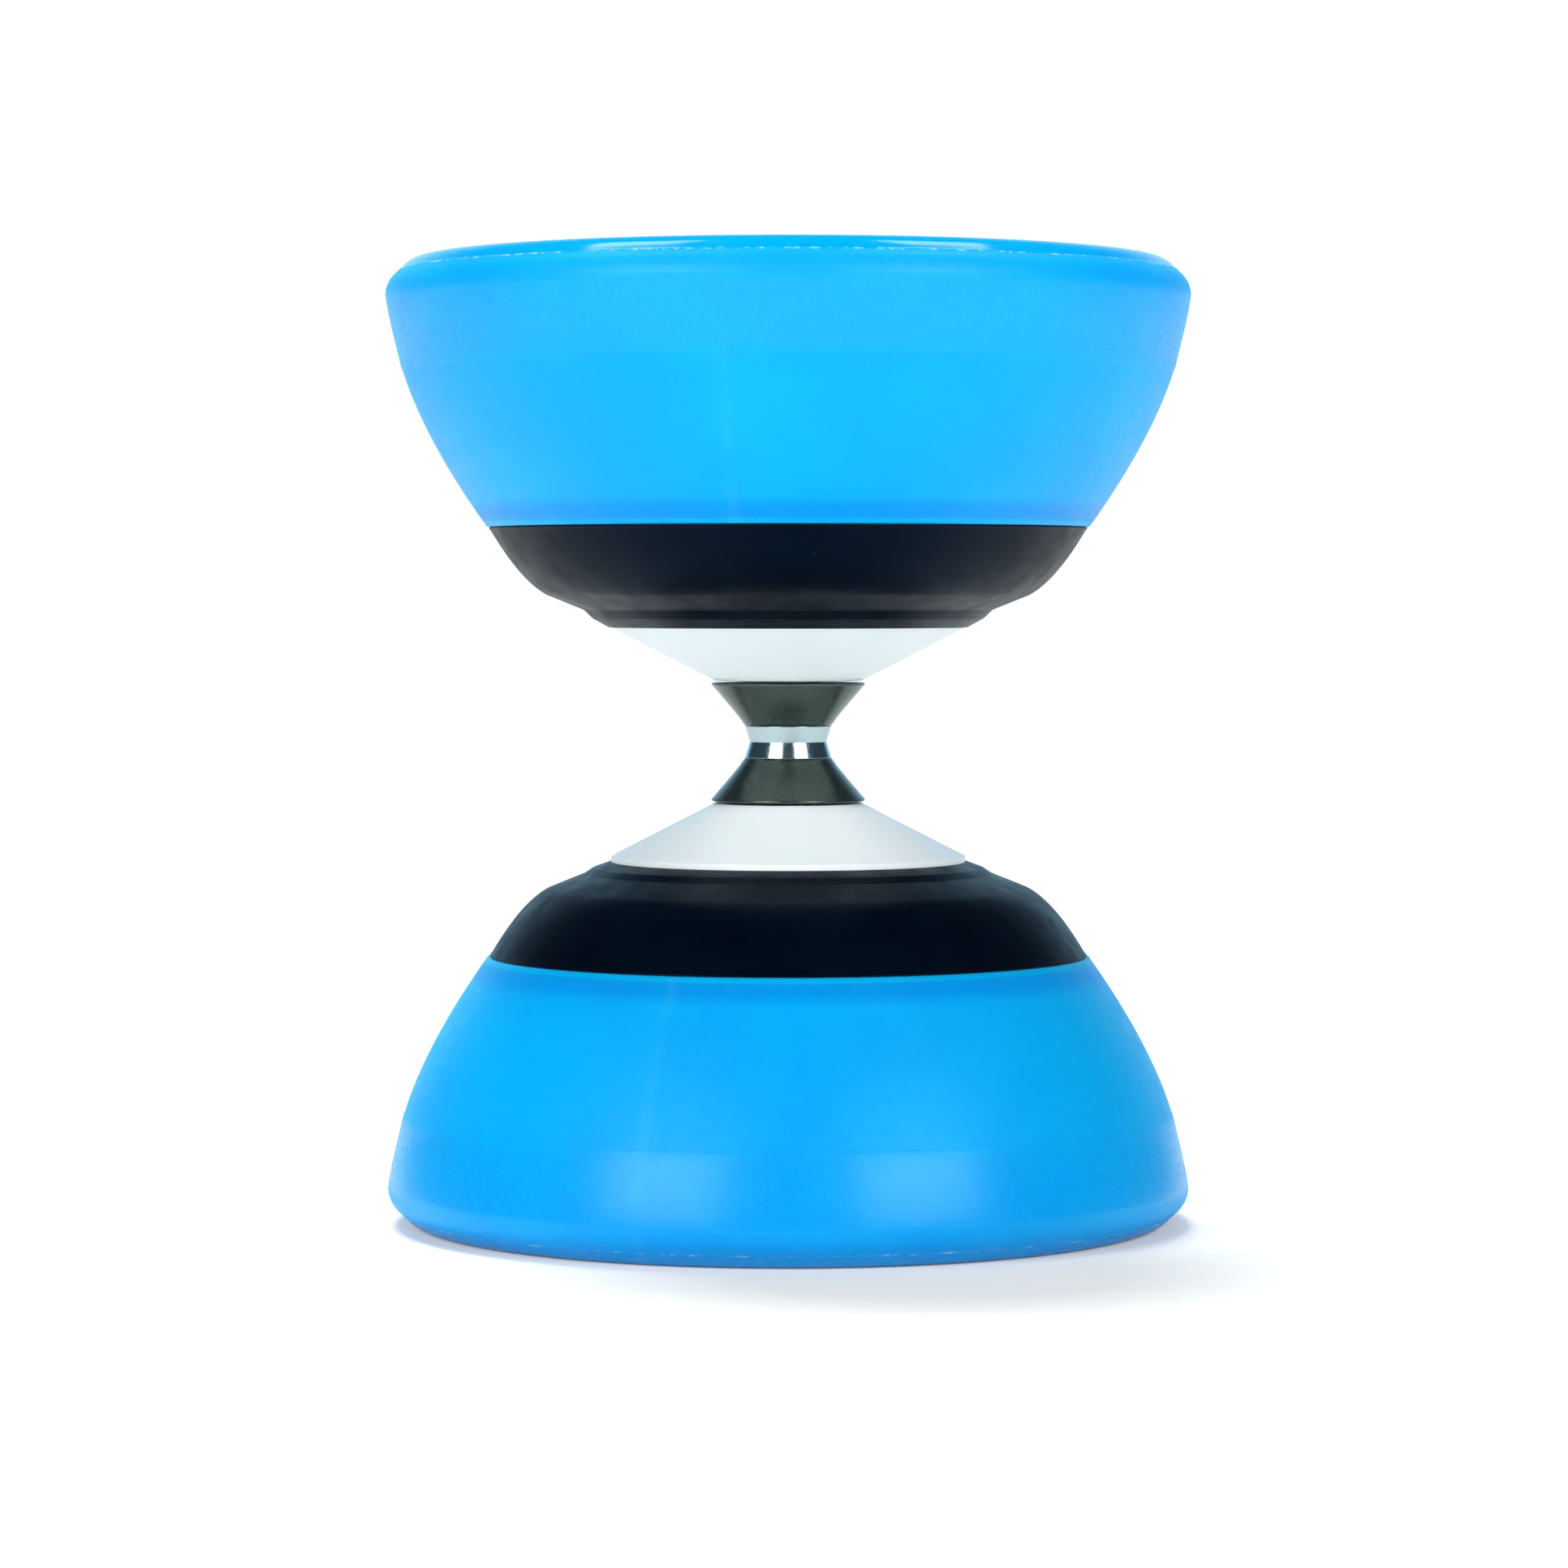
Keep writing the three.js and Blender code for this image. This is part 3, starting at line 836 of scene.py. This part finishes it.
def balls(name, height):
    """The balls, and the cage with a pocket round each of them."""
    node = f"{name}_bearing_ball_cage"
    corners = [(3.35, -0.7, 0.05), (3.65, -0.7, 0.05), (3.65, 0.7, 0.05), (3.35, 0.7, 0.05)]
    pockets = ball_circle(BALL_RADIUS + 0.03)
    cage = carved(turned(rounded(corners), 96), pockets, "DIFFERENCE")
    for part, mesh in (("cage_pressed", cage), ("balls", ball_circle(BALL_RADIUS))):
        mesh.transform(Matrix.Translation((0, 0, height)))
        piece = f"{name}_bearing_{part}"
        finished(piece, mesh, f"{name}_balls", BEARING_STEEL, [node], "bearing_steel")


def bearing(name, height):
    """A ball bearing whose middle is at that height, above or below the throat."""
    half = BEARING_HALF_WIDTH
    inner = [(BORE, -half, 0.12), (INNER_RING_OUTSIDE, -half, 0.05)]
    inner += ball_groove(-1)
    inner += [(INNER_RING_OUTSIDE, half, 0.05), (BORE, half, 0.12)]
    outer = [(OUTER_RING_INSIDE, half, 0.05), (BEARING_OUTSIDE, half, 0.12)]
    outer += [(BEARING_OUTSIDE, -half, 0.12), (OUTER_RING_INSIDE, -half, 0.05)]
    outer += ball_groove(1)
    for part, points, body in (("inner_ring", inner, "cups"), ("outer_ring", outer, "roller")):
        mesh = turned([(r, h + height) for r, h in rounded(points)], 96)
        node = f"{name}_bearing_{part}"
        finished(f"{node}_ground", mesh, body, BEARING_STEEL, [node], "bearing_steel")
    for place, side in (("top", 1), ("bottom", -1)):
        node = f"{name}_bearing_{place}_shield"
        low, high = sorted((height + side * 1.2, height + side * 1.4))
        sleeve(node, "roller", BEARING_STEEL, "bearing_steel", 3.15, 3.9, low, high, 0.05)
    balls(name, height)


def spacers(end):
    low, high = sorted(ENDS[end] * height for height in SPACER_ENDS)
    steel = (SHAFT_STEEL, "shaft_steel")
    sleeve(f"{end}_inner_spacer", "cups", *steel, BORE, 3.1, low, high)
    sleeve(f"{end}_outer_spacer", "roller", *steel, 3.9, BEARING_OUTSIDE, low, high)


# ---- Shaft and fasteners ----


def thread_radius(height, angle):
    """The radius of an M5 thread. The shaft is plain between the lock nuts and chamfered at its
    ends."""
    phase = (height / THREAD_PITCH - angle / (2 * math.pi)) % 1
    groove = clamped(2.6 * (0.44 - abs(phase - 0.5)))
    begins = clamped((abs(height) - THREAD_START - 0.1) / THREAD_PITCH)
    chamfer = 0.55
    radius = SHAFT_RADIUS - THREAD_DEPTH * groove * begins
    return min(radius, SHAFT_RADIUS - chamfer + (SHAFT_END - abs(height)))


def shaft():
    """The shaft, with a thread at each end."""
    sides = 64
    row_step = THREAD_PITCH / 12
    row_count = int((SHAFT_END - THREAD_START) / row_step)
    threaded = [THREAD_START + row_step * k for k in range(row_count)] + [SHAFT_END]
    made = bmesh.new()
    rows = []
    for height in [-h for h in reversed(threaded)] + threaded:
        row = []
        for k in range(sides):
            angle = 2 * math.pi * k / sides
            row.append(made.verts.new(around(thread_radius(height, angle), angle, height)))
        rows.append(row)
    mesh = tube_through(made, rows)
    finished("shaft_threaded", mesh, "cups", SHAFT_STEEL, ["shaft"], "shaft_steel")


def clamp_bush(end):
    """A bush with a nose against the inner bearing ring and a shoulder under the cone washer."""
    low, high, _ = reach(f"{end}_clamp_bush")
    nose, shoulder, stem = 3.2, 5.0, 4.0
    nose_end, shoulder_end = low + 0.4, 8.75
    corners = [
        (BORE, low, 0.05),
        (nose, low, 0.05),
        (nose, nose_end),
        (shoulder, nose_end, 0.05),
        (shoulder, shoulder_end, 0.05),
        (stem, shoulder_end),
        (stem, high, 0.15),
        (BORE, high, 0.05),
    ]
    mesh = turned(rounded(corners), 96, ENDS[end])
    node = f"{end}_clamp_bush"
    finished(f"{end}_bush_turned", mesh, "cups", SHAFT_STEEL, [node], "shaft_steel")


def clamp_washer(end):
    low, high, radius = reach(f"{end}_clamp_washer")
    corners = [
        (BORE, low, 0.05),
        (radius, low, 0.3),
        (radius, high, 0.12),
        (BORE + 0.15, high, 0.1),
    ]
    mesh = turned(rounded(corners), 160, ENDS[end])
    node = f"{end}_clamp_washer"
    finished(f"{end}_washer_stamped", mesh, "cups", ZINC_STEEL, [node], "zinc_steel")


def nut_radius(angle, limit):
    """The hexagon's radius in that direction, or the turned limit where that is smaller."""
    within = (angle + math.pi / 6) % (math.pi / 3) - math.pi / 6
    return min(NUT_ACROSS_FLATS / 2 / math.cos(within), limit)


def lock_nut(end):
    """A hexagon with turned chamfers, a round collar crimped over the nylon ring, and an open
    bore. Its outlines are heights above the nut's bottom, each with a radius."""
    height = NUT_TOP - NUT_BOTTOM
    beyond_corners = NUT_ACROSS_FLATS / math.sqrt(3) + 0.05
    seat, collar = 3.9, 3.2  # where the nylon ring lies, and the bore of the collar over it
    limits = [(0.0, 3.85), (0.12, 4.02), (0.25, 4.25), (0.4, 4.45), (0.55, beyond_corners)]
    limits += [(2.9, beyond_corners), (3.08, 4.45), (3.24, 4.2), (3.4, 3.98), (3.5, 3.88)]
    limits += [(3.62, 3.78), (height - 0.75, 3.7), (height - 0.4, 3.62), (height - 0.14, 3.5)]
    limits += [(height, 3.3)]
    inner = [(height, collar), (height - 0.1, collar), (seat, collar), (seat, BORE)]
    inner += [(0.25, BORE), (0.0, BORE + 0.2)]
    sides = 144
    made = bmesh.new()
    loops = []
    for k in range(sides):
        angle = 2 * math.pi * k / sides
        outline = [(z, nut_radius(angle, limit)) for z, limit in limits] + inner
        places = [around(radius, angle, ENDS[end] * (NUT_BOTTOM + z)) for z, radius in outline]
        loops.append([made.verts.new(place) for place in places])
    mesh = ring_through(made, loops)
    node = f"{end}_lock_nut"
    finished(f"{end}_nut_forged", mesh, "cups", ZINC_STEEL, [node], "zinc_steel", sharp=28)


def nut_insert(end):
    low, high, radius = reach(f"{end}_nut_insert")
    bore = 2.55
    corners = [(bore, low, 0.05), (radius, low, 0.05), (radius, high, 0.1), (bore, high, 0.15)]
    mesh = turned(rounded(corners), 96, ENDS[end])
    node = f"{end}_nut_insert"
    finished(f"{end}_insert_nylon", mesh, "cups", NUT_NYLON, [node], "nut_nylon")


for end in ENDS:
    cup(end)
    rim_burrs(end)
    hub(end)
    cone_washer(end)
    axle_cone(end)
    spacers(end)
    clamp_bush(end)
    clamp_washer(end)
    lock_nut(end)
    nut_insert(end)
throat_ring()
shaft()
for name, side in (("upper", 1), ("middle", 0), ("lower", -1)):
    bearing(name, side * BEARING_SPACING)

# ---- Studio, in metres ----


def studio_floor():
    """A large pale table top, with a warm glow of its own that only the camera sees."""
    half = 3.0
    corners = [(-half, -half, 0), (half, -half, 0), (half, half, 0), (-half, half, 0)]
    mesh = bpy.data.meshes.new("floor")
    mesh.from_pydata(corners, [], [(0, 1, 2, 3)])
    s = Surface("floor_paper", Roughness=0.9, Specular_IOR_Level=0.1)
    s.set("Base Color", s.mix(s.noise(120, 2), (0.80, 0.825, 0.81), (0.81, 0.835, 0.82)))
    s.shader.inputs["Emission Color"].default_value = (1.0, 0.84, 0.7, 1)
    seen = s.add("ShaderNodeLightPath").outputs["Is Camera Ray"]
    s.set("Emission Strength", s.times(seen, 0.27))
    mesh.materials.append(s.material)
    floor = bpy.data.objects.new("floor", mesh)
    bpy.context.scene.collection.objects.link(floor)


def direction(azimuth, elevation):
    """The direction from the throat at those degrees. Azimuth 0 is in front, and grows to +X."""
    a, e = math.radians(azimuth), math.radians(elevation)
    return Vector((math.sin(a) * math.cos(e), -math.cos(a) * math.cos(e), math.sin(e)))


def aimed(lamp, source):
    """Puts a lamp in the scene, shining from the direction of its source to the throat."""
    holder = bpy.data.objects.new(lamp.name, lamp)
    holder.rotation_mode = "QUATERNION"
    holder.rotation_quaternion = (-source).to_track_quat("-Z", "Y")
    bpy.context.scene.collection.objects.link(holder)
    return holder


def softbox(name, azimuth, elevation, distance, width, height, power):
    """A soft light that faces the throat, and that the camera doesn't see."""
    lamp = bpy.data.lights.new(name, "AREA")
    lamp.shape = "RECTANGLE"
    lamp.size = width
    lamp.size_y = height
    lamp.energy = power
    source = direction(azimuth, elevation)
    holder = aimed(lamp, source)
    holder.location = Vector((0, 0, THROAT_Z)) + source * distance
    holder.visible_camera = False


def ceiling_light(azimuth, elevation, spread, strength):
    """An even light from above that gives the soft shadow in front of the lower rim."""
    lamp = bpy.data.lights.new("ceiling_light", "SUN")
    lamp.energy = strength
    lamp.angle = math.radians(spread)
    aimed(lamp, direction(azimuth, elevation)).visible_glossy = False


def studio_room():
    """White all round to the camera. As a source of light, it is bright behind the diabolo and dim
    elsewhere, and dimmer still overhead."""
    world = bpy.data.worlds.new("studio")
    bpy.context.scene.world = world
    world.use_nodes = True
    nodes, links = world.node_tree.nodes, world.node_tree.links

    def smooth(value, **limits):
        node = nodes.new("ShaderNodeMapRange")
        node.interpolation_type = "SMOOTHSTEP"
        links.new(value, node.inputs["Value"])
        for socket, limit in limits.items():
            node.inputs[socket.replace("_", " ")].default_value = limit
        return node.outputs["Result"]

    seen = nodes["Background"]
    seen.inputs["Color"].default_value = (1, 1, 1, 1)
    seen.inputs["Strength"].default_value = 1.1
    axes = nodes.new("ShaderNodeSeparateXYZ")
    links.new(nodes.new("ShaderNodeTexCoord").outputs["Generated"], axes.inputs[0])
    behind = smooth(axes.outputs["Y"], From_Min=0.62, From_Max=0.97, To_Min=0.1, To_Max=1.2)
    overhead = smooth(axes.outputs["Z"], From_Min=0.3, From_Max=0.8, To_Min=1.0, To_Max=0.5)
    strength = nodes.new("ShaderNodeMath")
    strength.operation = "MULTIPLY"
    links.new(behind, strength.inputs[0])
    links.new(overhead, strength.inputs[1])
    lighting = nodes.new("ShaderNodeBackground")
    lighting.inputs["Color"].default_value = (0.45, 0.76, 1.0, 1)
    links.new(strength.outputs[0], lighting.inputs["Strength"])
    chooser = nodes.new("ShaderNodeMixShader")
    links.new(nodes.new("ShaderNodeLightPath").outputs["Is Camera Ray"], chooser.inputs[0])
    links.new(lighting.outputs[0], chooser.inputs[1])
    links.new(seen.outputs[0], chooser.inputs[2])
    links.new(chooser.outputs[0], nodes["World Output"].inputs["Surface"])


def camera():
    """In front and a little above the throat, looking slightly down, through a long lens."""
    lens = bpy.data.cameras.new("camera")
    lens.sensor_width = 36
    lens.lens = 118.15
    lens.clip_start = 0.01
    lens.clip_end = 50
    left, away, above = 0.6 * MM, 738.5 * MM, 22.1 * MM
    degrees_down = 2.186
    holder = bpy.data.objects.new("camera", lens)
    holder.location = (-left, -away, THROAT_Z + above)
    holder.rotation_euler = (math.radians(90 - degrees_down), 0, 0)
    bpy.context.scene.collection.objects.link(holder)
    bpy.context.scene.camera = holder


studio_floor()
studio_room()
for name, azimuth, power in (("softbox_left", -37, 6.6), ("softbox_right", 38, 6.1)):
    softbox(name, azimuth, 22, distance=1.1, width=0.62, height=0.5, power=power)
# Two small lamps above and a little behind draw the long highlights on the upper lip.
for name, azimuth in (("overhead_left", -121), ("overhead_right", 121)):
    softbox(name, azimuth, 68, distance=1.0, width=0.24, height=0.24, power=0.9)
ceiling_light(azimuth=-162, elevation=66, spread=26, strength=3.0)
camera()
bpy.context.scene.view_settings.view_transform = "Standard"
